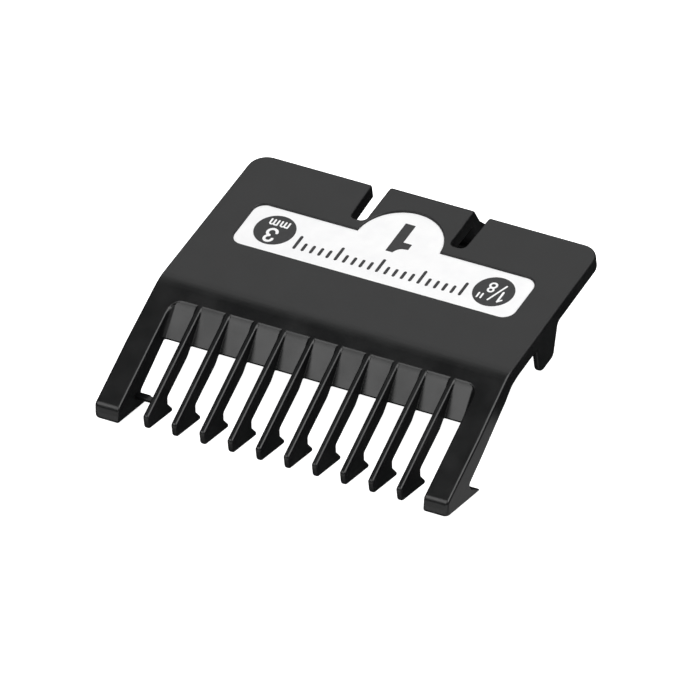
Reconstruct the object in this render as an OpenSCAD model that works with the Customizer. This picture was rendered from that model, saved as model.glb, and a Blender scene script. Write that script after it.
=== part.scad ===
// Clip-on guard comb for a hair clipper, size 1 (3 mm).
// +Z is up, +Y is the latch end, -Y is the end with the teeth, X runs across the comb.
// The profiles are drawn from the bend line at the plate's top face, which is y = 0 and z = 0
// there, and place() moves them so that the origin is below the middle of the comb.

/* [Plate] */
// Width of the comb across the bend line
comb_w = 50.8; // [50:0.2:54]
// Depth of the flat plate, from the bend line to the rear edge
plate_d = 26.1; // [25:0.1:28]
// Thickness of the moulded wall
wall_t = 2.1; // [1.9:0.1:2.3]
// How much each side draws in from the bend line to the rear edge
rear_draw = 0.3; // [0:0.02:0.4]
// Radius of the two rear corners, seen from above
corner_r = 2.5; // [1:0.25:4]

/* [Front] */
// Angle of the toothed front below the flat plate
front_angle = 20; // [17:0.5:22]
// Length of the front, measured level, from the bend line to the arm tips
front_run = 18.25; // [17.5:0.25:19]
// How much each arm flares outwards
arm_flare = 0.2; // [0:0.05:0.6]
// Distance from the centre line to the inner face of each arm
arm_in = 22; // [21.8:0.05:22.4]

/* [Teeth] */
// Number of teeth
tooth_count = 10; // [10:1:10]
// Distance between the centres of two teeth
tooth_pitch = 4.07; // [3.8:0.01:4.1]
// Thickness of a tooth
tooth_t = 0.85; // [0.6:0.05:1.2]
// Level distance from the bend line to the top of the ramps between the teeth
ramp_y = 2.5; // [2:0.1:2.6]
// Level length of a ramp
ramp_run = 3.7; // [3.4:0.1:4.2]

/* [Latch] */
// Length of the tongue, from its root to the rear edge of the plate
tongue_l = 6.6; // [6:0.1:7]
// Width of the tongue
tongue_w = 12.1; // [11.6:0.1:12.4]
// Width of each slot beside the tongue, at its root
slot_root_w = 2.2; // [1.8:0.1:2.6]
// Width of each slot at the rear edge
slot_mouth_w = 2.4; // [2.2:0.1:3]
// How far the lip at the end of the tongue reaches out behind the plate
lip_out = 1.6; // [1.4:0.1:1.8]
// Depth of the lip, from the top face to the thumb tab
lip_depth = 2.75; // [2.5:0.05:3]
// Radius of the lip's top edge
lip_r = 0.7; // [0.4:0.05:0.9]
// Depth of the catch below the top face
catch_depth = 6.5; // [6.2:0.1:7]
// How far the thumb tab stands out behind the lip
tab_out = 1.5; // [1:0.1:1.8]
// Running clearance round the root of the tongue
root_clearance = 0.05; // [0.03:0.01:0.1]

/* [Heel hooks] */
// Distance of the hook's rear top edge from the rear edge of the plate
hook_set = 12.7; // [12:0.1:13]
// Depth of the hooks below the top face
hook_depth = 6.15; // [5.5:0.05:6.5]
// Length of each hook at the plate, from front to rear
hook_l = 5.95; // [5.5:0.05:6.5]
// Distance from the centre line to the inner face of each hook
hook_in = 24.45; // [24:0.05:24.6]

/* [Badge] */
// Width of the pocket that holds the badge
badge_w = 40.8; // [38:0.2:42]
// Depth of the pocket's straight band, from front to rear
badge_d = 8.16; // [7.6:0.02:8.4]
// Distance of the band from the rear edge of the plate
badge_set = 8.4; // [8.2:0.1:9]
// Radius of the round crown that reaches onto the tongue
crown_r = 6; // [5.2:0.05:6]
// How far the pocket is sunk into the plate
pocket_depth = 0.35; // [0.2:0.05:0.5]
// Radius of the two printed discs
disc_r = 2.78; // [2:0.02:3.2]
// Distance of the discs from the middle of the print
disc_x = 15.88; // [14:0.02:16.5]

/* [Hidden] */
$fn = 64;

black = [0.05, 0.05, 0.055];
white = [0.92, 0.92, 0.92];
ink = [0.12, 0.12, 0.13];

half_w = comb_w / 2;
slope = tan(front_angle);
// depth of the sloping wall, measured straight down
slope_t = wall_t / cos(front_angle);
// the plate ends just behind the bend line, where the inner corner of the bend is
seam_y = 0.4;
inner_bend_y = (slope_t - wall_t) / slope;

// arm and tooth feet, as distances from the foot's lowest front edge
arm_front_rise = 2;
arm_front_lean = 0.7;
arm_barb_back = 9.1;
arm_barb_drop = 2.5;
// the notch behind an arm's barb, as distances in front of the barb and above it
arm_notch = [[2.3, 1.9], [2.75, 3]];
// where the arm's underside starts to deepen, from the inner corner of the bend
arm_arch = [1.95, 1.3];
tooth_short = 0.25;
// the row of teeth sits slightly off the comb's centre line
teeth_x = 0.1;
tooth_front_lean = 0.15;
tooth_front_rise = 2.05;
tooth_barb_back = 6.2;
tooth_barb_drop = 1.8;
tooth_notch = [1.2, 1.95];
tooth_neck = 1.05;
// how much deeper a tooth is than the rail, and the length over which it gets so
tooth_belly = 0.4;
tooth_belly_run = 1.1;
// the bar between the left arm's foot and the first tooth
bridge_w = 0.85;
bridge_t = 0.5;
bridge_y = -14.25;
bridge_z = -8.15;
// the hooks' slanted rear, their rounded feet, and how far they are let into the plate
hook_lean = 2.7;
hook_rear_r = 1.05;
hook_rear_angle = 28;
hook_front_r = 1.25;
hook_let_in = 0.4;

tip_y = -front_run - arm_front_lean;
tip_z = -front_run * slope - arm_front_rise;
barb_y = tip_y + arm_barb_back;
barb_z = tip_z - arm_barb_drop;

// the latch, which sits slightly off the comb's centre line
latch_x = 0.25;
root_y = plate_d - tongue_l;
root_r = wall_t / 2;
lip_y = plate_d - 0.9;
lip_end_y = plate_d + lip_out;
lip_lean = 22.5;
tab_r = 0.7;
tab_drop = 5.8;
rear_y = lip_end_y + tab_out;

// thicknesses of the badge and of the print on it, and the gap round the badge
badge_t = 0.1;
badge_gap = 0.05;
badge_corner_r = 1.7;
ink_t = 0.04;
badge_top = badge_t - pocket_depth;
// the badge is parted where the tongue flexes, with room for its swing
crown_gap = 0.25;
band_gap = 0.75;
crown_y = plate_d - badge_set - 0.3;
badge_front_y = plate_d - badge_set - badge_d;
disc_y = badge_front_y + badge_d / 2 + 0.1;

// the figure 1, which reads from the latch end: its foot is on the tongue and its flag points to +X
stem_len = 5.6;
stem_w = 1.43;
stem_x = -0.1;
stem_foot_y = plate_d - 4.9;
flag_len = 1.25;
flag_w = 1.05;
flag_set = 3.4;
// the sloping cut between the flag and the top of the stem
flag_cut = [0.3, 0.25];
stem_cut = 0.42;

// the row of scale ticks
tick_count = 21;
tick_pitch = 1.2;
tick_w = 0.42;
tick_short = 1.5;
tick_long = 2.6;
tick_y = badge_front_y + 1.9;

function tooth_name(i) = i < 10 ? str("tooth_0", i) : str("tooth_", i);
function top_z(y) = y * slope;
function arc(cy, cz, r, from, to, steps = 10) =
    [for (i = [0 : steps]) let (a = from + (to - from) * i / steps) [cy + r * cos(a), cz + r * sin(a)]];

// moves a solid from the bend line to the comb's own frame
module place() {
    translate([0, -(rear_y + tip_y) / 2, -barb_z]) children();
}

// extrudes a profile of [y, z] points along X, from x0 to x1
module across(x0, x1) {
    translate([x0, 0, 0]) rotate([90, 0, 90]) linear_extrude(x1 - x0) children();
}

// the slotted notch that frees the tongue, seen from above
module latch_notch() {
    root = tongue_w / 2 + slot_root_w;
    mouth = tongue_w / 2 + slot_mouth_w;
    translate([latch_x, 0])
        polygon([[-root, root_y], [root, root_y], [mouth, plate_d + 1], [-mouth, plate_d + 1]]);
}

// the pocket's outline, or a smaller one that follows it
module badge_outline(shrink = 0) {
    w = badge_w / 2 - badge_corner_r;
    y0 = badge_front_y + badge_corner_r;
    y1 = badge_front_y + badge_d - badge_corner_r;
    r = badge_corner_r - shrink;
    translate([-w - r, y0]) square([2 * (w + r), y1 - y0]);
    translate([-w, y0 - r]) square([2 * w, y1 - y0 + 2 * r]);
    for (x = [-w, w])
        for (y = [y0, y1])
            translate([x, y]) circle(r);
    translate([0, crown_y]) circle(crown_r - shrink);
}

// the shallow pocket that the badge sits in
module badge_pocket() {
    translate([0, 0, -pocket_depth]) linear_extrude(pocket_depth + 1) badge_outline();
}

module plate_outline() {
    rear_half = half_w - rear_draw;
    polygon(concat(
        [[-half_w, seam_y], [half_w, seam_y]],
        arc(rear_half - corner_r, plate_d - corner_r, corner_r, 0, 90),
        arc(-rear_half + corner_r, plate_d - corner_r, corner_r, 90, 180)));
}

// the two recesses under the plate that the hooks are let into
module hook_recesses() {
    for (side = [-1, 1])
        mirror([side < 0 ? 1 : 0, 0, 0])
            translate([hook_in, plate_d - hook_set - hook_l, -wall_t - 1])
                cube([half_w - hook_in + 1, hook_l, hook_let_in + 1]);
}

module top_plate() {
    socket_r = root_r + root_clearance;
    color(black) place() difference() {
        translate([0, 0, -wall_t]) linear_extrude(wall_t) difference() {
            plate_outline();
            latch_notch();
        }
        badge_pocket();
        hook_recesses();
        translate([latch_x, root_y, -root_r]) rotate([0, 90, 0])
            cylinder(h = tongue_w + 2 * root_clearance, r = socket_r, center = true);
    }
}

// the sloping band between the plate and the teeth, whose front face is the ramps
module tooth_rail() {
    foot_y = -ramp_y - ramp_run;
    color(black) place() across(-arm_in, arm_in)
        polygon([[seam_y, 0], [0, 0], [-ramp_y, top_z(-ramp_y)], [foot_y, top_z(foot_y) - slope_t],
                 [inner_bend_y, -wall_t], [seam_y, -wall_t]]);
}

// an arm seen from the side: a wedge that deepens towards its barbed foot
module arm_profile() {
    polygon([[seam_y, 0], [0, 0], [-front_run, top_z(-front_run)], [tip_y, tip_z], [barb_y, barb_z],
             for (p = arm_notch) [barb_y - p[0], barb_z + p[1]],
             [inner_bend_y - arm_arch[0], -wall_t - arm_arch[1]], [inner_bend_y, -wall_t],
             [seam_y, -wall_t]]);
}

module side_arm(side) {
    outer = half_w + arm_flare;
    place() intersection() {
        across(-half_w - 1, half_w + 1) arm_profile();
        translate([0, 0, barb_z - 1]) linear_extrude(-barb_z + 2)
            polygon([for (p = [[arm_in, seam_y], [half_w, seam_y], [half_w, 0], [outer, -front_run / 2],
                               [outer, tip_y - 1], [arm_in, tip_y - 1]]) [side * p[0], p[1]]]);
    }
}

module left_side_arm() {
    color(black) side_arm(-1);
}

module right_side_arm() {
    color(black) side_arm(1);
}

// a tooth seen from the side: a thin fin with an arrow-shaped foot
module tooth_profile() {
    end_y = -front_run + tooth_short;
    foot_y = end_y - tooth_front_lean;
    foot_z = top_z(end_y) - tooth_front_rise;
    heel_y = foot_y + tooth_barb_back;
    heel_z = foot_z - tooth_barb_drop;
    neck_y = heel_y - tooth_neck;
    rail_y = -ramp_y - ramp_run;
    belly_y = rail_y - tooth_belly_run;
    polygon([[-ramp_y, top_z(-ramp_y)], [end_y, top_z(end_y)], [foot_y, foot_z], [heel_y, heel_z],
             [heel_y - tooth_notch[0], heel_z + tooth_notch[1]],
             [neck_y, top_z(neck_y) - slope_t - tooth_belly],
             [belly_y, top_z(belly_y) - slope_t - tooth_belly],
             [rail_y, top_z(rail_y) - slope_t]]);
}

module tooth(i) {
    x = teeth_x + (i - (tooth_count + 1) / 2) * tooth_pitch;
    color(black) place() across(x - tooth_t / 2, x + tooth_t / 2) tooth_profile();
}

// the short bar that ties the left arm's foot to the first tooth
module foot_bridge() {
    first_tooth = teeth_x - (tooth_count - 1) / 2 * tooth_pitch - tooth_t / 2;
    color(black) place()
        translate([-arm_in, bridge_y, bridge_z]) cube([arm_in + first_tooth, bridge_w, bridge_t]);
}

// a hook seen from the side: it slants forwards and has a rounded foot
module hook_profile() {
    rear_top_y = plate_d - hook_set;
    front_y = rear_top_y - hook_l;
    let_in_z = -wall_t + hook_let_in;
    polygon(concat(
        [[front_y, let_in_z], [rear_top_y, let_in_z], [rear_top_y, -wall_t]],
        arc(rear_top_y - hook_lean, hook_rear_r - hook_depth, hook_rear_r, -hook_rear_angle, -90),
        arc(front_y + hook_front_r, hook_front_r - hook_depth, hook_front_r, -90, -180)));
}

// the hook's outer face is flush with the plate's side
module heel_hook(side) {
    place() mirror([side < 0 ? 1 : 0, 0, 0]) intersection() {
        across(hook_in, half_w) hook_profile();
        translate([0, 0, -hook_depth - 1]) linear_extrude(hook_depth + 1) plate_outline();
    }
}

module left_heel_hook() {
    color(black) heel_hook(-1);
}

module right_heel_hook() {
    color(black) heel_hook(1);
}

// the springy tongue: its rounded root turns in the plate's socket
module latch_tongue() {
    color(black) place() difference() {
        union() {
            translate([latch_x - tongue_w / 2, root_y, -wall_t]) cube([tongue_w, lip_y - root_y, wall_t]);
            translate([latch_x, root_y, -root_r]) rotate([0, 90, 0])
                cylinder(h = tongue_w, r = root_r, center = true);
        }
        badge_pocket();
    }
}

// the lip that turns down behind the blade, with the bead that grips it and the tab that frees it
module latch_catch() {
    bead_r = 0.7;
    foot_r = 0.6;
    inner_y = lip_end_y - wall_t;
    inner_r = inner_y - lip_y;
    // the top corner of the lip's leaning rear face, where its rounded edge is centred
    top_y = lip_end_y - lip_depth * tan(lip_lean);
    edge_y = top_y - lip_r * tan((90 - lip_lean) / 2);
    color(black) place() across(latch_x - tongue_w / 2, latch_x + tongue_w / 2)
        polygon(concat(
            [[lip_y, 0]],
            arc(edge_y, -lip_r, lip_r, 90, lip_lean),
            [[lip_end_y, -lip_depth]],
            arc(rear_y - tab_r, tab_r - tab_drop, tab_r, 45, -90),
            arc(lip_end_y - foot_r, foot_r - catch_depth, foot_r, 0, -90, 5),
            arc(inner_y, bead_r - catch_depth, bead_r, -90, -270),
            arc(lip_y, -wall_t - inner_r, inner_r, 0, 90, 6)));
}

module badge_film() {
    translate([0, 0, -pocket_depth]) linear_extrude(badge_t) badge_outline(badge_gap);
}

// everything in front of a line across the comb
module in_front_of(y) {
    translate([-comb_w, y - 2 * comb_w, -1]) cube([2 * comb_w, 2 * comb_w, 2]);
}

module badge_band() {
    color(white) place() intersection() {
        badge_film();
        in_front_of(root_y - band_gap);
    }
}

module badge_crown() {
    color(white) place() difference() {
        badge_film();
        in_front_of(root_y + crown_gap);
    }
}

// the printed figure 1, with its foot on the tongue and its flag on the band
module numeral() {
    top_y = stem_foot_y - stem_len;
    left = stem_x - stem_w / 2;
    right = stem_x + stem_w / 2;
    flag_y = stem_foot_y - flag_set;
    translate([0, 0, badge_top]) linear_extrude(ink_t)
        polygon([[left, top_y], [left, stem_foot_y], [right, stem_foot_y], [right, flag_y],
                 [right + flag_len, flag_y], [right + flag_len, flag_y - flag_w],
                 [right + flag_cut[0], flag_y - flag_w - flag_cut[1]], [right - stem_cut, top_y]]);
}

module numeral_stem() {
    color(ink) place() intersection() {
        numeral();
        in_front_of(root_y - band_gap);
    }
}

module numeral_foot() {
    color(ink) place() difference() {
        numeral();
        in_front_of(root_y + crown_gap);
    }
}

module printed_disc(side) {
    place() translate([side * disc_x, disc_y, badge_top]) cylinder(h = ink_t, r = disc_r);
}

module metric_disc() {
    color(ink) printed_disc(-1);
}

module inch_disc() {
    color(ink) printed_disc(1);
}

// a plain graduated row of ticks, every fifth one long
module scale_ticks() {
    color(ink) place() for (i = [0 : tick_count - 1]) {
        len = i % 5 == 0 ? tick_long : tick_short;
        x = (i - (tick_count - 1) / 2) * tick_pitch;
        translate([x - tick_w / 2, tick_y, badge_top]) cube([tick_w, len, ink_t]);
    }
}

top_plate();
tooth_rail();
left_side_arm();
right_side_arm();
for (i = [1 : tooth_count])
    tooth(i);
foot_bridge();
left_heel_hook();
right_heel_hook();
latch_tongue();
latch_catch();
badge_band();
badge_crown();
numeral_stem();
numeral_foot();
metric_disc();
inch_disc();
scale_ticks();
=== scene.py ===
import math

import bmesh
import bpy
import numpy as np
from mathutils import Matrix, Vector


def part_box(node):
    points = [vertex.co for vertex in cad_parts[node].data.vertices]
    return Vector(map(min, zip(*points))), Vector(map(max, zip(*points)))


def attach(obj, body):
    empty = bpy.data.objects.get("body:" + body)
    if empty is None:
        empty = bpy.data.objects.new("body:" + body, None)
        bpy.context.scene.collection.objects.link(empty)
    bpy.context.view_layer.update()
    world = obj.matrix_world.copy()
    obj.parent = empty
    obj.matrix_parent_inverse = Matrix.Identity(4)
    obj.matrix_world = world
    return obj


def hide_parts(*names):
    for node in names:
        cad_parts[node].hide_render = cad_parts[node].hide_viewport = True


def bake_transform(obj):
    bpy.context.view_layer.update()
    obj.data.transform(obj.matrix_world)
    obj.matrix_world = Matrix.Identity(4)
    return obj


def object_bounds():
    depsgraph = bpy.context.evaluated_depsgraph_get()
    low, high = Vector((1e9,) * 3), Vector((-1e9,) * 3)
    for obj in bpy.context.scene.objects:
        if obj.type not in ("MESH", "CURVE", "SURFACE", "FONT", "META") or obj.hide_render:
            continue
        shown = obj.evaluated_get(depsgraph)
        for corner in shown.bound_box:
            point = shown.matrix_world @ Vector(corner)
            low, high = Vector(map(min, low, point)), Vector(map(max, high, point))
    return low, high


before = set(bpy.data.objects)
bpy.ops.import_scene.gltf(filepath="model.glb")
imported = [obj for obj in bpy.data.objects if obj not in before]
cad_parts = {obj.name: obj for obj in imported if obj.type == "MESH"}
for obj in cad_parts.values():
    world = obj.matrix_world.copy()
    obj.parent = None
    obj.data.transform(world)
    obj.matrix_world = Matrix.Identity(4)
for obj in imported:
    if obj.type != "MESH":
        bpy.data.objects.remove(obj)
cad_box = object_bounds()

# A clip-on guard comb for a hair clipper: one black moulding with a springy latch, and a white badge
# set into a pocket of its plate. The moulding is described by one distance function, with every edge
# and inner corner rounded, and is meshed piece by piece.
#
# Lengths are in millimetres, measured from the bend line: y = 0 and z = 0 where the plate's top face
# meets the toothed front, +y towards the latch. to_frame() brings a finished mesh into the frame.

MM = 0.001
SEAM_Y = 0.4
ORIGIN = Vector((0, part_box("top_plate")[0].y - SEAM_Y * MM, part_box("top_plate")[1].z))


def local_box(node):
    """A CAD node's lowest and highest corners, in millimetres from the bend line."""
    return [(corner - ORIGIN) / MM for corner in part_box(node)]


# ---------------------------------------------------------------- sizes, from the frame

plate_low, plate_high = local_box("top_plate")
rail_low = local_box("tooth_rail")[0]
arm_low, arm_high = local_box("right_side_arm")
hook_low, hook_high = local_box("right_heel_hook")
tongue_low, tongue_high = local_box("latch_tongue")
catch_low, catch_high = local_box("latch_catch")
bridge_low, bridge_high = local_box("foot_bridge")
band_low, band_high = local_box("badge_band")
crown_high = local_box("badge_crown")[1]

WALL = plate_high.z - plate_low.z
FRONT_ANGLE = math.radians(20)
SLOPE = math.tan(FRONT_ANGLE)
SLOPE_DEPTH = WALL / math.cos(FRONT_ANGLE)
INNER_BEND_Y = (SLOPE_DEPTH - WALL) / SLOPE
REAR_Y = plate_high.y
HALF_W = plate_high.x
ARM_OUT = arm_high.x
REAR_HALF_W = HALF_W - 0.3
CORNER_R = 2.5
BEND_R = 7

LATCH_X = (tongue_low.x + tongue_high.x) / 2
ROOT_Y = tongue_low.y + WALL / 2
LIP_Y = catch_low.y
TAB_END_Y = catch_high.y
TAB_FOOT_Z = -5.8
LIP_END_Y = TAB_END_Y - 1.5
LIP_TOP_Y = LIP_END_Y - 1.14
LIP_DEPTH = 2.75
LIP_INNER_R = 0.4
CATCH_IN_Y = LIP_END_Y - WALL
CATCH_Z = catch_low.z
BEAD_R = 0.7
TONGUE_ROOT_HALF = 6.2
TONGUE_REAR_HALF = 6.0
SLOT_ROOT_X = 8.22
SLOT_MOUTH_X = 8.45
SLOT_CORNER_R = 0.75
TONGUE_ZONE = (TONGUE_ROOT_HALF + SLOT_ROOT_X) / 2

RAMP_TOP_Y = -2.5
RAMP_FOOT_Y = rail_low.y
RAMP_LIP = 0.32
RAMP_CORNER_R = 1.5
TEETH = [name for name in sorted(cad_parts) if name.startswith("tooth_") and name[-1].isdigit()]
TOOTH_X = [sum(corner.x for corner in local_box(name)) / 2 for name in TEETH]
TOOTH_PITCH = TOOTH_X[1] - TOOTH_X[0]
TOOTH_HALF = (local_box(TEETH[0])[1].x - local_box(TEETH[0])[0].x) / 2
TOOTH_BELLY = 0.4
ARM_INNER_X = 22.05

BADGE_GAP = 0.05
POCKET_Z = band_low.z
BADGE_Z = band_high.z
BAND_REAR_Y = REAR_Y - 8.4
BAND_FRONT_Y = band_low.y - BADGE_GAP
BADGE_HALF = band_high.x + BADGE_GAP
BADGE_CORNER_R = 1.7
CROWN_R = 6
CROWN_Y = crown_high.y + BADGE_GAP - CROWN_R

MARK_T = 0.012

# radii of the moulding's edges and inner corners
TOOTH_ROOT_R = 0.12
ARM_ROOT_R = 0.7
HOOK_ROOT_R = 0.3
SIDE_EDGE_R = 0.25
CORNER_EDGE_R = 0.2
OUTLINE_EDGE_R = 0.35
POCKET_EDGE_R = 0.1

# where the moulding is parted into pieces
PLATE_CUT_Z = -WALL - 0.2
TOOTH_CUT_Y = RAMP_FOOT_Y - 0.6
TONGUE_CUT_Y = ROOT_Y + 0.7


# ---------------------------------------------------------------- outlines


def rounded(corners, steps=8):
    """The points of a closed outline whose corners are (u, v) or (u, v, radius)."""
    points = []
    for i, corner in enumerate(corners):
        here = np.array(corner[:2], float)
        radius = corner[2] if len(corner) == 3 else 0
        if radius == 0:
            points.append(tuple(here))
            continue
        before = np.array(corners[i - 1][:2], float) - here
        after = np.array(corners[(i + 1) % len(corners)][:2], float) - here
        before /= np.linalg.norm(before)
        after /= np.linalg.norm(after)
        half = math.acos(np.clip(before @ after, -1, 1)) / 2
        middle = (before + after) / np.linalg.norm(before + after)
        centre = here + middle * radius / math.sin(half)
        start = here + before * radius / math.tan(half) - centre
        end = here + after * radius / math.tan(half) - centre
        turn = math.atan2(start[0] * end[1] - start[1] * end[0], start @ end)
        for step in range(steps + 1):
            angle = turn * step / steps
            c, s = math.cos(angle), math.sin(angle)
            spoke = np.array((c * start[0] - s * start[1], s * start[0] + c * start[1]))
            points.append(tuple(centre + spoke))
    return points


def top_z(y):
    return y * SLOPE


FAR = 60

# the top face seen from the side: front slope, rounded bend, plate
PLATE_TOP = rounded([(-FAR, top_z(-FAR)), (0, 0, BEND_R), (FAR, 0), (FAR, -FAR), (-FAR, -FAR)])
# on the tongue it curls down into the lip
TONGUE_TOP = rounded(
    [(-FAR, top_z(-FAR)), (0, 0, BEND_R), (LIP_TOP_Y, 0, 0.7), (LIP_END_Y, -LIP_DEPTH, 0.25),
     (TAB_END_Y, -LIP_DEPTH - 1.85, 0.4), (TAB_END_Y, TAB_FOOT_Z, 0.5), (LIP_END_Y, TAB_FOOT_Z, 0.3),
     (LIP_END_Y, -FAR), (-FAR, -FAR)], 16)

# the underside with a tooth's arrow-shaped foot, open at the top
TOOTH_FOOT = [
    (INNER_BEND_Y, -WALL, 1.5),
    (RAMP_FOOT_Y, top_z(RAMP_FOOT_Y) - SLOPE_DEPTH, 0.6),
    (RAMP_FOOT_Y - 1.1, top_z(RAMP_FOOT_Y - 1.1) - SLOPE_DEPTH - TOOTH_BELLY, 0.6),
    (-13, top_z(-13) - SLOPE_DEPTH - TOOTH_BELLY, 0.35),
    (-13.15, -8.45, 0.35),
    (-11.85, -10.5, 0.3),
    (-18.3, -8.6, 0.6),
    (-18.25, -6.5),
    (-10, 20),
]
PLATE_UNDER = rounded([(FAR, 20), (FAR, -WALL)] + TOOTH_FOOT)
TONGUE_UNDER = rounded(
    [(FAR, 20), (FAR, CATCH_Z), (CATCH_IN_Y - BEAD_R, CATCH_Z, 0.6),
     (CATCH_IN_Y - BEAD_R, CATCH_Z + 2 * BEAD_R, 0.4), (CATCH_IN_Y, CATCH_Z + 2 * BEAD_R, 0.2),
     (CATCH_IN_Y, -WALL, LIP_INNER_R)] + TOOTH_FOOT)

# everything behind the ramps, which end in a narrow upright lip
RAMP_FACE = rounded([
    (20.6, 20), (FAR, 20), (FAR, -FAR), (RAMP_FOOT_Y, -FAR),
    (RAMP_FOOT_Y, rail_low.z + RAMP_LIP, 0.15), (RAMP_TOP_Y, top_z(RAMP_TOP_Y)),
])

# an arm and a heel hook seen from the side, open at the top
ARM_SIDE = rounded([
    (3, 20), (3, -1), (INNER_BEND_Y, -WALL, 1), (-1.6, -3.4, 1.2), (-12.6, -8.15, 0.4), (-12.15, -9.2, 0.2),
    (arm_low.y + 9.1, arm_low.z, 0.12), (arm_low.y, -8.63, 0.4), (-18.25, top_z(-18.25)), (-6.2, 20),
])
HOOK_SIDE = rounded([
    (hook_low.y, 3), (hook_low.y, hook_low.z, 1.25),
    (hook_high.y - 2.05, hook_low.z, 1.05), (hook_high.y + 2.6, 3),
], 12)


def side_corners(side):
    """The corners of the whole comb seen from above, from the arm's tip to the latch's lip."""
    sides = [(ARM_OUT, arm_low.y, 0.9), (ARM_OUT, -9, 18), (HALF_W, 0, 18), (REAR_HALF_W, REAR_Y, CORNER_R)]
    slot = [(SLOT_MOUTH_X, REAR_Y, 0.4), (SLOT_ROOT_X, ROOT_Y, SLOT_CORNER_R),
            (TONGUE_ROOT_HALF, ROOT_Y, SLOT_CORNER_R), (TONGUE_REAR_HALF, FAR)]
    return [(side * x, *rest) for x, *rest in sides] + [(LATCH_X + side * x, *rest) for x, *rest in slot]


OUTLINE = rounded(side_corners(1) + side_corners(-1)[::-1])


# ---------------------------------------------------------------- distances


def outline_distance(points, u, v):
    """Distance from (u, v) to a closed outline, negative inside it."""
    nearest = np.full(np.broadcast(u, v).shape, np.inf)
    inside = np.zeros(nearest.shape, bool)
    for (au, av), (bu, bv) in zip(points, points[1:] + points[:1]):
        eu, ev = bu - au, bv - av
        wu, wv = u - au, v - av
        along = np.clip((wu * eu + wv * ev) / (eu * eu + ev * ev), 0, 1)
        nearest = np.minimum(nearest, (wu - eu * along) ** 2 + (wv - ev * along) ** 2)
        if ev != 0:
            inside ^= ((av > v) != (bv > v)) & (wu < wv * (eu / ev))
    return np.where(inside, -1, 1) * np.sqrt(nearest)


def joined(a, b, radius):
    """Union of two solids, with a rounded inner corner."""
    near_both = np.hypot(np.maximum(radius - a, 0), np.maximum(radius - b, 0))
    return np.maximum(radius, np.minimum(a, b)) - near_both


def shared(a, b, radius):
    """Intersection of two solids, with a rounded edge."""
    near_both = np.hypot(np.maximum(radius + a, 0), np.maximum(radius + b, 0))
    return np.minimum(-radius, np.maximum(a, b)) + near_both


def badge_distance(x, y):
    """Distance to the outline of the badge's pocket: a band with a round crown."""
    middle = (BAND_REAR_Y + BAND_FRONT_Y) / 2
    over_x = np.abs(x) - (BADGE_HALF - BADGE_CORNER_R)
    over_y = np.abs(y - middle) - ((BAND_REAR_Y - BAND_FRONT_Y) / 2 - BADGE_CORNER_R)
    corner = np.hypot(np.maximum(over_x, 0), np.maximum(over_y, 0))
    band = corner + np.minimum(np.maximum(over_x, over_y), 0) - BADGE_CORNER_R
    return np.minimum(band, np.hypot(x, y - CROWN_Y) - CROWN_R)


def tooth_side_distance(x):
    """Distance to the side of the nearest tooth."""
    place = np.clip((x - TOOTH_X[0]) / TOOTH_PITCH, 0, len(TOOTH_X) - 1)
    return np.abs(x - TOOTH_X[0] - np.round(place) * TOOTH_PITCH) - TOOTH_HALF


def ramp_corner_distance(away, y):
    """Distance to the rounded corner where the top edge of the outermost ramp meets an arm."""
    middle_y = RAMP_TOP_Y - RAMP_CORNER_R
    across = np.maximum(away - ARM_INNER_X + RAMP_CORNER_R, 0)
    hollow = RAMP_CORNER_R - np.hypot(across, np.maximum(y - middle_y, 0))
    return np.maximum(hollow, middle_y - y)


def moulding(x, y, z):
    """Distance to the surface of the whole black moulding, negative inside it."""
    away = np.abs(x)
    on_tongue = np.abs(x - LATCH_X) < TONGUE_ZONE
    under = np.where(on_tongue, outline_distance(TONGUE_UNDER, y, z), outline_distance(PLATE_UNDER, y, z))
    top = np.where(on_tongue, outline_distance(TONGUE_TOP, y, z), outline_distance(PLATE_TOP, y, z))
    fins = joined(outline_distance(RAMP_FACE, y, z), tooth_side_distance(x), TOOTH_ROOT_R)
    solid = shared(fins, under, np.interp(y, (-16, -8), (0.3, 0.2)))
    arms = shared(outline_distance(ARM_SIDE, y, z), ARM_INNER_X - away, SIDE_EDGE_R)
    solid = joined(solid, arms, ARM_ROOT_R)
    solid = np.minimum(solid, shared(ramp_corner_distance(away, y), under, CORNER_EDGE_R))
    hooks = shared(outline_distance(HOOK_SIDE, y, z), hook_low.x - away, SIDE_EDGE_R)
    solid = joined(solid, hooks, HOOK_ROOT_R)
    solid = shared(solid, top, np.interp(y, (-9, -4), (0.33, 0.28)))
    solid = shared(solid, outline_distance(OUTLINE, x, y), OUTLINE_EDGE_R)
    pocket = np.maximum(badge_distance(x, y), POCKET_Z - z)
    return shared(solid, -pocket, POCKET_EDGE_R)


def gradient(solid, points, reach=0.004):
    """The slope of a distance function at each point."""
    slopes = np.empty_like(points)
    for axis in range(3):
        step = np.zeros(3)
        step[axis] = reach
        slopes[:, axis] = (solid(*(points + step).T) - solid(*(points - step).T)) / (2 * reach)
    return slopes


# ---------------------------------------------------------------- meshing


def graded(start, *spans):
    """Grid lines from start on; each span is (its end, the greatest step in it)."""
    lines = [start]
    for end, step in spans:
        count = math.ceil((end - lines[-1]) / step - 1e-6)
        lines.extend(np.linspace(lines[-1], end, count + 1)[1:])
    return np.array(lines)


def mirrored(lines):
    """Grid lines from 0 on, and the same ones on the other side."""
    return np.concatenate([-lines[:0:-1], lines])


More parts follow.
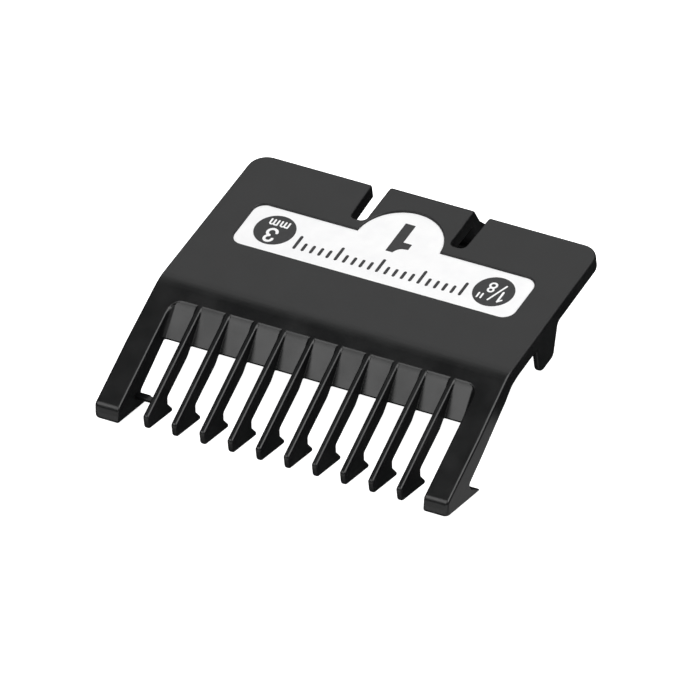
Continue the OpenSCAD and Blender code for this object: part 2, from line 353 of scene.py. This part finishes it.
def surface_net(solid, lines):
    """Points and quads of the solid's surface, one point in each grid cell that the surface crosses."""
    field = solid(lines[0][:, None, None], lines[1][None, :, None], lines[2][None, None, :])
    cells = np.array(field.shape) - 1
    sums = np.zeros((cells.prod(), 3))
    counts = np.zeros(cells.prod())
    quads = []
    for axis in range(3):
        low = np.moveaxis(field, axis, 0)[:-1]
        high = np.moveaxis(field, axis, 0)[1:]
        found = np.argwhere((low < 0) != (high < 0))
        low_value = low[tuple(found.T)]
        high_value = high[tuple(found.T)]
        others = [other for other in range(3) if other != axis]
        node = np.empty_like(found)
        node[:, axis] = found[:, 0]
        node[:, others[0]] = found[:, 1]
        node[:, others[1]] = found[:, 2]
        crossing = np.stack([lines[k][node[:, k]] for k in range(3)], 1)
        reach = lines[axis][node[:, axis] + 1] - lines[axis][node[:, axis]]
        crossing[:, axis] += reach * low_value / (low_value - high_value)
        u, v = (axis + 1) % 3, (axis + 2) % 3
        ids = np.empty((len(node), 4), np.int64)
        for k, (du, dv) in enumerate(((-1, -1), (0, -1), (0, 0), (-1, 0))):
            cell = node.copy()
            cell[:, u] += du
            cell[:, v] += dv
            fits = ((cell >= 0) & (cell < cells)).all(1)
            flat = (cell[:, 0] * cells[1] + cell[:, 1]) * cells[2] + cell[:, 2]
            ids[:, k] = np.where(fits, flat, -1)
            np.add.at(sums, flat[fits], crossing[fits])
            np.add.at(counts, flat[fits], 1)
        whole = (ids >= 0).all(1)
        outward = (low_value < 0)[:, None]
        quads.append(np.where(outward, ids, ids[:, ::-1])[whole])
    quads = np.concatenate(quads)
    used, quads = np.unique(quads, return_inverse=True)
    return sums[used] / counts[used][:, None], quads.reshape(-1, 4)


def settle(solid, points, rounds=2):
    """Moves points onto the solid's surface."""
    for _ in range(rounds):
        slope = gradient(solid, points)
        height = solid(*points.T)
        points = points - slope * (height / np.maximum((slope ** 2).sum(1), 0.05))[:, None]
    return points


def part_off(bm, point, normal, near=None):
    """Cuts the mesh flat and closes it, dropping what lies beyond the plane.

    near limits the cut to the faces whose centres it accepts."""
    point, normal = Vector(point), Vector(normal)
    faces = [face for face in bm.faces if near is None or near(face.calc_center_median())]
    edges = list({edge for face in faces for edge in face.edges})
    verts = list({vert for face in faces for vert in face.verts})
    bmesh.ops.bisect_plane(bm, geom=verts + edges + faces, plane_co=point, plane_no=normal, dist=1e-5)
    beyond = [face for face in bm.faces
              if (face.calc_center_median() - point).dot(normal) > 1e-6
              and (near is None or near(face.calc_center_median()))]
    bmesh.ops.delete(bm, geom=beyond, context="FACES")
    rim = [edge for edge in bm.edges if edge.is_boundary
           and all(abs((vert.co - point).dot(normal)) < 1e-4 for vert in edge.verts)]
    caps = bmesh.ops.holes_fill(bm, edges=rim, sides=0)["faces"]
    bmesh.ops.triangulate(bm, faces=caps)


def net_mesh(solid, lines):
    """A bmesh of the solid's surface within the grid."""
    points, quads = surface_net(solid, lines)
    points = settle(solid, points)
    mesh = bpy.data.meshes.new("net")
    mesh.from_pydata(points.tolist(), [], quads.tolist())
    bm = bmesh.new()
    bm.from_mesh(mesh)
    bpy.data.meshes.remove(mesh)
    return bm


def shade_from(solid, mesh):
    """Gives the mesh the solid's own surface normals, and flat faces where it was parted off."""
    points = np.empty(len(mesh.vertices) * 3)
    mesh.vertices.foreach_get("co", points)
    points = points.reshape(-1, 3)
    slopes = gradient(solid, points)
    slopes /= np.maximum(np.linalg.norm(slopes, axis=1), 1e-9)[:, None]
    corner_vert = np.empty(len(mesh.loops), np.int64)
    mesh.loops.foreach_get("vertex_index", corner_vert)
    counts = np.empty(len(mesh.polygons), np.int64)
    mesh.polygons.foreach_get("loop_total", counts)
    flat = np.empty(len(mesh.polygons) * 3)
    mesh.polygons.foreach_get("normal", flat)
    flat = np.repeat(flat.reshape(-1, 3), counts, axis=0)
    smooth = slopes[corner_vert]
    parted = (flat * smooth).sum(1) < 0.5
    mesh.normals_split_custom_set(np.where(parted[:, None], flat, smooth).tolist())


def to_frame(mesh, shift=(0, 0, 0)):
    """Brings a mesh from millimetres at the bend line into the frame."""
    mesh.transform(Matrix.Translation(ORIGIN + Vector(shift) * MM) @ Matrix.Scale(MM, 4))


def piece(name, mesh, material, nodes=()):
    """A finished piece of the object, standing for the CAD nodes it is named after."""
    mesh.materials.clear()
    mesh.materials.append(material)
    obj = bpy.data.objects.new(name, mesh)
    bpy.context.scene.collection.objects.link(obj)
    if nodes:
        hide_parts(*nodes)
    return obj


def moulded_mesh(bm, solid=moulding):
    mesh = bpy.data.meshes.new("moulded")
    bm.to_mesh(mesh)
    bm.free()
    mesh.shade_smooth()
    shade_from(solid, mesh)
    return mesh


# ---------------------------------------------------------------- materials


def new_material(name):
    material = bpy.data.materials.new(name)
    material.use_nodes = True
    nodes = material.node_tree.nodes
    return material, nodes, material.node_tree.links, nodes["Principled BSDF"]


def noise(nodes, links, scale, detail=3, roughness=0.5):
    """Noise over the object's own coordinates; scale is in cells per metre."""
    place = nodes.new("ShaderNodeTexCoord")
    texture = nodes.new("ShaderNodeTexNoise")
    texture.inputs["Scale"].default_value = scale
    texture.inputs["Detail"].default_value = detail
    texture.inputs["Roughness"].default_value = roughness
    links.new(place.outputs["Object"], texture.inputs["Vector"])
    return texture.outputs["Fac"]


def ramp(nodes, links, value, low, high, start=0.35, end=0.65):
    """Maps a value onto a blend of two greys or colours."""
    blend = nodes.new("ShaderNodeValToRGB")
    blend.color_ramp.elements[0].position = start
    blend.color_ramp.elements[1].position = end
    for element, colour in zip(blend.color_ramp.elements, (low, high)):
        element.color = (*colour, 1) if isinstance(colour, tuple) else (colour, colour, colour, 1)
    links.new(value, blend.inputs["Fac"])
    return blend.outputs["Color"]


def bump(nodes, links, shader, height, strength, distance):
    node = nodes.new("ShaderNodeBump")
    node.inputs["Strength"].default_value = strength
    node.inputs["Distance"].default_value = distance
    links.new(height, node.inputs["Height"])
    links.new(node.outputs["Normal"], shader.inputs["Normal"])


def black_plastic():
    material, nodes, links, shader = new_material("satin_black_plastic")
    cloudy = noise(nodes, links, 260, 4)
    grain = noise(nodes, links, 3200, 3, 0.6)
    links.new(ramp(nodes, links, cloudy, (0.0035, 0.0037, 0.004), (0.0058, 0.006, 0.0062)),
              shader.inputs["Base Color"])
    links.new(ramp(nodes, links, cloudy, 0.3, 0.37), shader.inputs["Roughness"])
    shader.inputs["IOR"].default_value = 1.5
    bump(nodes, links, shader, grain, 0.12, 0.00004)
    return material


def white_film():
    material, nodes, links, shader = new_material("white_print_film")
    cloudy = noise(nodes, links, 400, 3)
    grain = noise(nodes, links, 5200, 2)
    links.new(ramp(nodes, links, cloudy, (0.86, 0.86, 0.865), (0.9, 0.9, 0.9)), shader.inputs["Base Color"])
    links.new(ramp(nodes, links, cloudy, 0.34, 0.42), shader.inputs["Roughness"])
    bump(nodes, links, shader, grain, 0.05, 0.00002)
    return material


def grey_ink():
    material, nodes, links, shader = new_material("dark_grey_ink")
    speckle = noise(nodes, links, 2600, 4, 0.7)
    links.new(ramp(nodes, links, speckle, (0.02, 0.02, 0.021), (0.034, 0.034, 0.035)),
              shader.inputs["Base Color"])
    links.new(ramp(nodes, links, speckle, 0.45, 0.6), shader.inputs["Roughness"])
    bump(nodes, links, shader, speckle, 0.08, 0.00002)
    return material


PLASTIC = black_plastic()
FILM = white_film()
INK = grey_ink()


# ---------------------------------------------------------------- the moulding


def black_piece(name, mesh, nodes, body="comb"):
    """A piece of the moulding, attached to the comb's body; a piece on the latch is baked in place instead.
    """
    obj = piece(name, mesh, PLASTIC, nodes)
    if body == "comb":
        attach(obj, "comb")
    else:
        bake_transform(obj)


def over_tongue(centre):
    """True behind the tongue's root, between the slots."""
    return abs(centre.x - LATCH_X) < TONGUE_ZONE and centre.y > ROOT_Y + 0.3


def make_plate():
    across = mirrored(graded(0, (9.2, 0.165), (18.5, 0.6), (20.8, 0.14), (24, 0.45), (25.8, 0.15)))
    along = graded(-0.2, (3.4, 0.4), (7, 0.6), (9.2, 0.24), (11.4, 0.14), (14.6, 0.24), (15.8, 0.4),
                   (18, 0.14), (19, 0.2), (21, 0.12), (23, 0.2), (26.4, 0.15))
    upright = graded(-3.3, (-1.6, 0.13), (-0.6, 0.25), (0.16, 0.06))
    bm = net_mesh(moulding, (across, along, upright))
    part_off(bm, (0, SEAM_Y, 0), (0, -1, 0))
    part_off(bm, (0, 0, PLATE_CUT_Z), (0, 0, -1))
    part_off(bm, (0, TONGUE_CUT_Y, 0), (0, 1, 0), near=over_tongue)
    mesh = moulded_mesh(bm)
    to_frame(mesh)
    black_piece("top_plate_moulding", mesh, ["top_plate"])


def make_rail():
    reach = TOOTH_HALF + 0.555
    spans = []
    for x in TOOTH_X:
        spans += [(x - reach, 0.35), (x + reach, 0.12)]
    across = graded(-25.8, (-24.6, 0.15), (-23, 0.4), (-21, 0.13), *spans,
                    (21, 0.35), (23, 0.13), (24.6, 0.4), (25.8, 0.15))
    along = graded(-7.5, (-1.4, 0.13), (1, 0.25))
    upright = graded(-6.9, (0.2, 0.13))
    bm = net_mesh(moulding, (across, along, upright))
    part_off(bm, (0, SEAM_Y, 0), (0, 1, 0))
    part_off(bm, (0, TOOTH_CUT_Y, 0), (0, -1, 0))
    mesh = moulded_mesh(bm)
    to_frame(mesh)
    black_piece("tooth_rail_moulding", mesh, ["tooth_rail"])


def make_teeth():
    across = TOOTH_X[0] + graded(-0.8, (0.8, 0.1))
    along = graded(-18.8, (-11.4, 0.12), (-6.2, 0.4))
    upright = graded(-10.8, (-1.6, 0.12))
    bm = net_mesh(moulding, (across, along, upright))
    part_off(bm, (0, TOOTH_CUT_Y, 0), (0, 1, 0))
    first = moulded_mesh(bm)
    for name, x in zip(TEETH, TOOTH_X):
        mesh = first.copy()
        to_frame(mesh, (x - TOOTH_X[0], 0, 0))
        black_piece(name + "_moulding", mesh, [name])


def make_arm(side, name):
    outer = graded(21.6, (22.8, 0.13), (24.5, 0.3), (25.9, 0.13))
    across = outer if side > 0 else -outer[::-1]
    along = graded(-19.3, (-9.4, 0.14), (-6.2, 0.3))
    upright = graded(-11.5, (-1.6, 0.14))
    bm = net_mesh(moulding, (across, along, upright))
    part_off(bm, (0, TOOTH_CUT_Y, 0), (0, 1, 0))
    mesh = moulded_mesh(bm)
    to_frame(mesh)
    black_piece(name + "_moulding", mesh, [name])


def make_hook(side, name):
    outer = graded(23.8, (25.8, 0.12))
    across = outer if side > 0 else -outer[::-1]
    along = graded(6.6, (14.6, 0.14))
    upright = graded(-6.5, (-1.9, 0.13))
    bm = net_mesh(moulding, (across, along, upright))
    part_off(bm, (0, 0, PLATE_CUT_Z), (0, 0, 1))
    mesh = moulded_mesh(bm)
    to_frame(mesh)
    black_piece(name + "_moulding", mesh, [name])


def make_latch():
    across = LATCH_X + mirrored(graded(0, (5.4, 0.17), (6.6, 0.12)))
    along = graded(19.7, (24.2, 0.16), (29.5, 0.14))
    upright = graded(-6.8, (-0.6, 0.14), (0.16, 0.06))
    whole = net_mesh(moulding, (across, along, upright))
    part_off(whole, (0, TONGUE_CUT_Y, 0), (0, -1, 0))
    for name, towards_rear in (("latch_tongue", 1), ("latch_catch", -1)):
        bm = whole.copy()
        part_off(bm, (0, LIP_Y, 0), (0, towards_rear, 0))
        mesh = moulded_mesh(bm)
        to_frame(mesh)
        black_piece(name + "_moulding", mesh, [name], "latch")
    whole.free()


# ---------------------------------------------------------------- flat prints and film


def flat_mesh(outlines, low_z, high_z, cuts=()):
    """Thin flat shapes from closed outlines of (x, y), cut across at each y in cuts so they can bend."""
    bm = bmesh.new()
    for outline in outlines:
        top = bm.faces.new([bm.verts.new((x, y, high_z)) for x, y in outline])
        top.normal_update()
        if top.normal.z < 0:
            top.normal_flip()
        made = bmesh.ops.extrude_face_region(bm, geom=[top], use_keep_orig=True)["geom"]
        lower = [item for item in made if isinstance(item, bmesh.types.BMVert)]
        for vert in lower:
            vert.co.z = low_z
    for y in cuts:
        bmesh.ops.bisect_plane(bm, geom=bm.verts[:] + bm.edges[:] + bm.faces[:], plane_co=(0, y, 0),
                               plane_no=(0, 1, 0))
    bmesh.ops.recalc_face_normals(bm, faces=bm.faces)
    mesh = bpy.data.meshes.new("flat")
    bm.to_mesh(mesh)
    bm.free()
    return mesh


def arc_points(x, y, radius, start, end, steps=24):
    angles = np.linspace(math.radians(start), math.radians(end), steps + 1)
    return [(x + radius * math.cos(a), y + radius * math.sin(a)) for a in angles]


def bend_cuts():
    """Where the badge and the figure are parted so that they can bend with the tongue."""
    return [TONGUE_CUT_Y + 0.2 * step for step in range(13)]


def make_badge():
    half = BADGE_HALF - BADGE_GAP
    front = BAND_FRONT_Y + BADGE_GAP
    rear = BAND_REAR_Y - BADGE_GAP
    corner = BADGE_CORNER_R - BADGE_GAP
    crown = CROWN_R - BADGE_GAP
    start = math.degrees(math.asin((rear - CROWN_Y) / crown))
    outline = arc_points(half - corner, front + corner, corner, -90, 0, 12)
    outline += arc_points(half - corner, rear - corner, corner, 0, 90, 12)
    outline += arc_points(0, CROWN_Y, crown, start, 180 - start, 72)
    outline += arc_points(-half + corner, rear - corner, corner, 90, 180, 12)
    outline += arc_points(-half + corner, front + corner, corner, 180, 270, 12)
    mesh = flat_mesh([outline], POCKET_Z + 0.002, BADGE_Z, bend_cuts())
    to_frame(mesh)
    film = piece("badge_film", mesh, FILM, ["badge_band", "badge_crown"])
    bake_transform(film)


def ribbon(bm, points, width, low_z, high_z, closed=False):
    """A flat raised line through points, with round ends unless it is closed."""
    path = [np.array(point, float) for point in points]
    halves = [width / 2] * len(path)
    if not closed:
        for end in (0, -1):
            out = path[end] - path[1 if end == 0 else -2]
            out /= np.linalg.norm(out)
            tip = path[end]
            for angle in (25, 50, 75):
                reach, half = math.sin(math.radians(angle)), math.cos(math.radians(angle))
                place = 0 if end == 0 else len(path)
                path.insert(place, tip + out * reach * width / 2)
                halves.insert(place, half * width / 2)
    rings = []
    count = len(path)
    for i, (point, half) in enumerate(zip(path, halves)):
        before = path[(i - 1) % count] if closed or i > 0 else point
        after = path[(i + 1) % count] if closed or i < count - 1 else point
        along = (after - before) / np.linalg.norm(after - before)
        side = np.array((-along[1], along[0])) * half
        left, right = point + side, point - side
        ring = [(left, high_z), (right, high_z), (right, low_z), (left, low_z)]
        rings.append([bm.verts.new((*place, z)) for place, z in ring])
    for here, there in zip(rings, rings[1:] + (rings[:1] if closed else [])):
        for k in range(4):
            bm.faces.new((here[k], here[(k + 1) % 4], there[(k + 1) % 4], there[k]))
    if not closed:
        bm.faces.new(rings[0][::-1])
        bm.faces.new(rings[-1])


def marks_mesh(strokes, centre, low_z, high_z):
    """Strokes of (points, width, closed), read from the latch end: right is -x and up is -y."""
    bm = bmesh.new()
    for i, (points, width, closed) in enumerate(strokes):
        placed = [(centre[0] - u, centre[1] - v) for u, v in points]
        ribbon(bm, placed, width, low_z, high_z + 0.0005 * i, closed)
    bmesh.ops.recalc_face_normals(bm, faces=bm.faces)
    mesh = bpy.data.meshes.new("marks")
    bm.to_mesh(mesh)
    bm.free()
    return mesh


def figure_three(u, v):
    width = 0.4
    upper = arc_points(u - 0.02, v + 0.62, 0.54, 185, -75, 16)
    lower = arc_points(u, v - 0.57, 0.63, 78, -175, 18)
    return [(upper, width, False), (lower, width, False)]


def letter_m(u, v):
    width, height, step = 0.25, 0.92, 0.52
    strokes = [([(u - step, v), (u - step, v + height)], width, False)]
    for stem in (u - step, u):
        arch = arc_points(stem + step / 2, v + height - step / 2, step / 2, 160, 0, 8)
        strokes.append((arch + [(stem + step, v)], width, False))
    return strokes


def one_eighth(u, v):
    """The fraction 1/8 round (u, v), with an inch mark after it."""
    thin = 0.25
    stem_u = u - 1.3
    strokes = [([(stem_u, v - 0.27), (stem_u, v + 1.58)], 0.3, False)]
    strokes.append(([(stem_u, v + 1.58), (stem_u - 0.44, v + 1.14)], thin, False))
    strokes.append(([(u - 1.15, v - 1.5), (u + 0.03, v + 1.66)], thin, False))
    strokes.append((arc_points(u + 0.53, v - 0.17, 0.37, 0, 345, 23), 0.28, True))
    strokes.append((arc_points(u + 0.54, v - 1.03, 0.44, 0, 345, 23), 0.3, True))
    for mark in (1.08, 1.62):
        strokes.append(([(u + mark, v + 0.86), (u + mark, v + 1.66)], thin, False))
    return strokes


def make_disc(node, name, strokes):
    """A printed disc with its marks left white."""
    low, high = local_box(node)
    centre = ((low.x + high.x) / 2, (low.y + high.y) / 2)
    radius = (high.x - low.x) / 2
    mesh = flat_mesh([arc_points(*centre, radius, 0, 357.5, 143)], low.z, high.z)
    to_frame(mesh)
    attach(piece(name + "_disc_print", mesh, INK, [node]), "comb")
    mesh = marks_mesh(strokes, centre, high.z, high.z + MARK_T)
    to_frame(mesh)
    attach(piece(name + "_disc_marks", mesh, FILM), "comb")


def make_figure_one():
    """The printed size, in one piece from the band to the tongue."""
    stem_low, stem_high = local_box("numeral_stem")
    foot_low, foot_high = local_box("numeral_foot")
    left, right = foot_low.x, foot_high.x
    flag_end = stem_high.x
    flag_y = foot_high.y - 3.4
    outline = [(left, stem_low.y), (left, foot_high.y), (right, foot_high.y), (right, flag_y),
               (flag_end, flag_y), (flag_end, flag_y - 1.05)]
    outline += [(right + 0.42, flag_y - 1.18), (right + 0.12, flag_y - 1.36), (right - 0.16, flag_y - 1.66),
                (right - 0.36, flag_y - 2.02), (right - 0.42, stem_low.y)]
    mesh = flat_mesh([outline], foot_low.z, foot_high.z, bend_cuts())
    to_frame(mesh)
    figure = piece("figure_one_print", mesh, INK, ["numeral_stem", "numeral_foot"])
    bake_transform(figure)


def make_ticks():
    """The scale's ticks, with round ends."""
    low, high = local_box("scale_ticks")
    count = 21
    width = 0.42
    pitch = (high.x - low.x - width) / (count - 1)
    bm = bmesh.new()
    for i in range(count):
        x = low.x + width / 2 + i * pitch
        length = high.y - low.y if i % 5 == 0 else 0.58 * (high.y - low.y)
        ribbon(bm, [(x, low.y + width / 2), (x, low.y + length - width / 2)], width, low.z, high.z)
    bmesh.ops.recalc_face_normals(bm, faces=bm.faces)
    mesh = bpy.data.meshes.new("ticks")
    bm.to_mesh(mesh)
    bm.free()
    to_frame(mesh)
    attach(piece("scale_tick_prints", mesh, INK, ["scale_ticks"]), "comb")


def make_bridge():
    """The bar between the left arm's foot and the first tooth, with rounded long edges."""
    low, high = bridge_low, bridge_high
    edge = 0.12
    section = rounded([(low.y, low.z, edge), (high.y, low.z, edge),
                       (high.y, high.z, edge), (low.y, high.z, edge)], 5)
    bm = bmesh.new()
    ends = [[bm.verts.new((x, y, z)) for y, z in section] for x in (-ARM_INNER_X, high.x)]
    for here in range(len(section)):
        there = (here + 1) % len(section)
        bm.faces.new((ends[0][here], ends[0][there], ends[1][there], ends[1][here])).smooth = True
    bm.faces.new(ends[0])
    bm.faces.new(ends[1][::-1])
    bmesh.ops.recalc_face_normals(bm, faces=bm.faces)
    mesh = bpy.data.meshes.new("bridge")
    bm.to_mesh(mesh)
    bm.free()
    to_frame(mesh)
    black_piece("foot_bridge_moulding", mesh, ["foot_bridge"])


make_plate()
make_rail()
make_teeth()
make_arm(-1, "left_side_arm")
make_arm(1, "right_side_arm")
make_hook(-1, "left_heel_hook")
make_hook(1, "right_heel_hook")
make_latch()
make_bridge()
make_badge()
make_figure_one()
make_ticks()
make_disc("metric_disc", "metric",
          figure_three(0.1, 1.08) + letter_m(-0.77, -1.8) + letter_m(0.77, -1.8))
make_disc("inch_disc", "inch", one_eighth(0, 0))


# ---------------------------------------------------------------- studio


def make_floor():
    """A plain pale floor that glows evenly, just below the comb."""
    bm = bmesh.new()
    bmesh.ops.create_grid(bm, x_segments=1, y_segments=1, size=6)
    mesh = bpy.data.meshes.new("floor")
    bm.to_mesh(mesh)
    bm.free()
    material, _, _, shader = new_material("pale_floor")
    shader.inputs["Base Color"].default_value = (0.8, 0.8, 0.8, 1)
    shader.inputs["Roughness"].default_value = 0.9
    shader.inputs["Specular IOR Level"].default_value = 0
    shader.inputs["Emission Color"].default_value = (1, 1, 1, 1)
    shader.inputs["Emission Strength"].default_value = 1
    floor = bpy.data.objects.new("floor", mesh)
    bpy.context.scene.collection.objects.link(floor)
    mesh.materials.append(material)
    floor.location.z = cad_box[0][2] - 0.0002
    floor.visible_glossy = False


def softbox(name, direction, distance, size, radiance):
    """A square area light that faces the comb and has the given brightness."""
    light = bpy.data.lights.new(name, "AREA")
    light.shape = "RECTANGLE"
    light.size, light.size_y = size
    light.energy = radiance * math.pi * size[0] * size[1]
    obj = bpy.data.objects.new(name, light)
    bpy.context.scene.collection.objects.link(obj)
    towards = Vector(direction).normalized()
    obj.location = towards * distance
    obj.rotation_euler = towards.to_track_quat("Z", "Y").to_euler()


def reflector_card(name, low, high, brightness):
    """A bright card on the floor beside the comb, given by two corners; it shows in reflections only."""
    z = (cad_box[0][2] - ORIGIN.z) / MM - 0.1
    bm = bmesh.new()
    corners = [(low[0], low[1]), (high[0], low[1]), (high[0], high[1]), (low[0], high[1])]
    bm.faces.new([bm.verts.new((x, y, z)) for x, y in corners])
    mesh = bpy.data.meshes.new(name)
    bm.to_mesh(mesh)
    bm.free()
    to_frame(mesh)
    material, _, _, shader = new_material(name)
    shader.inputs["Base Color"].default_value = (0, 0, 0, 1)
    shader.inputs["Specular IOR Level"].default_value = 0
    shader.inputs["Emission Color"].default_value = (1, 1, 1, 1)
    shader.inputs["Emission Strength"].default_value = brightness
    mesh.materials.append(material)
    card = bpy.data.objects.new(name, mesh)
    bpy.context.scene.collection.objects.link(card)
    card.visible_camera = False
    card.visible_diffuse = False
    card.visible_shadow = False


def make_light():
    world = bpy.data.worlds.new("studio")
    bpy.context.scene.world = world
    world.use_nodes = True
    world.node_tree.nodes["Background"].inputs["Color"].default_value = (1, 1, 1, 1)
    world.node_tree.nodes["Background"].inputs["Strength"].default_value = 0.02
    softbox("rear_softbox", (-0.2, 0.68, 0.62), 0.7, (1.0, 0.5), 0.98)
    softbox("front_softbox", (-0.32, -0.54, 0.75), 0.7, (0.5, 0.4), 3.1)
    softbox("side_softbox", (0.5, 0.1, 0.86), 0.7, (0.6, 0.6), 4.0)
    reflector_card("side_card", (26, -26), (34, 3), 0.4)
    reflector_card("front_card", (-60, -140), (60, -24), 1.0)


def make_camera():
    azimuth = math.radians(32.8)
    elevation = math.radians(41.0)
    roll = math.radians(7.1)
    distance = 3.5
    pixels_per_metre = 7870
    image_width = 700
    ground = math.cos(elevation)
    away = Vector((ground * math.sin(azimuth), -ground * math.cos(azimuth), math.sin(elevation)))
    level = Vector((math.cos(azimuth), math.sin(azimuth), 0))
    upward = away.cross(level)
    right = level * math.cos(roll) - upward * math.sin(roll)
    top = level * math.sin(roll) + upward * math.cos(roll)
    aim = ORIGIN + Vector((4.2, -3.36, 0)) * MM
    data = bpy.data.cameras.new("camera")
    data.sensor_width = 36
    data.lens = pixels_per_metre * distance * data.sensor_width / image_width
    data.clip_end = 50
    camera = bpy.data.objects.new("camera", data)
    bpy.context.scene.collection.objects.link(camera)
    turned = Matrix((right, top, away)).transposed().to_4x4()
    camera.matrix_world = Matrix.Translation(aim + away * distance) @ turned
    bpy.context.scene.camera = camera


make_floor()
make_light()
make_camera()
bpy.context.scene.view_settings.view_transform = "Standard"
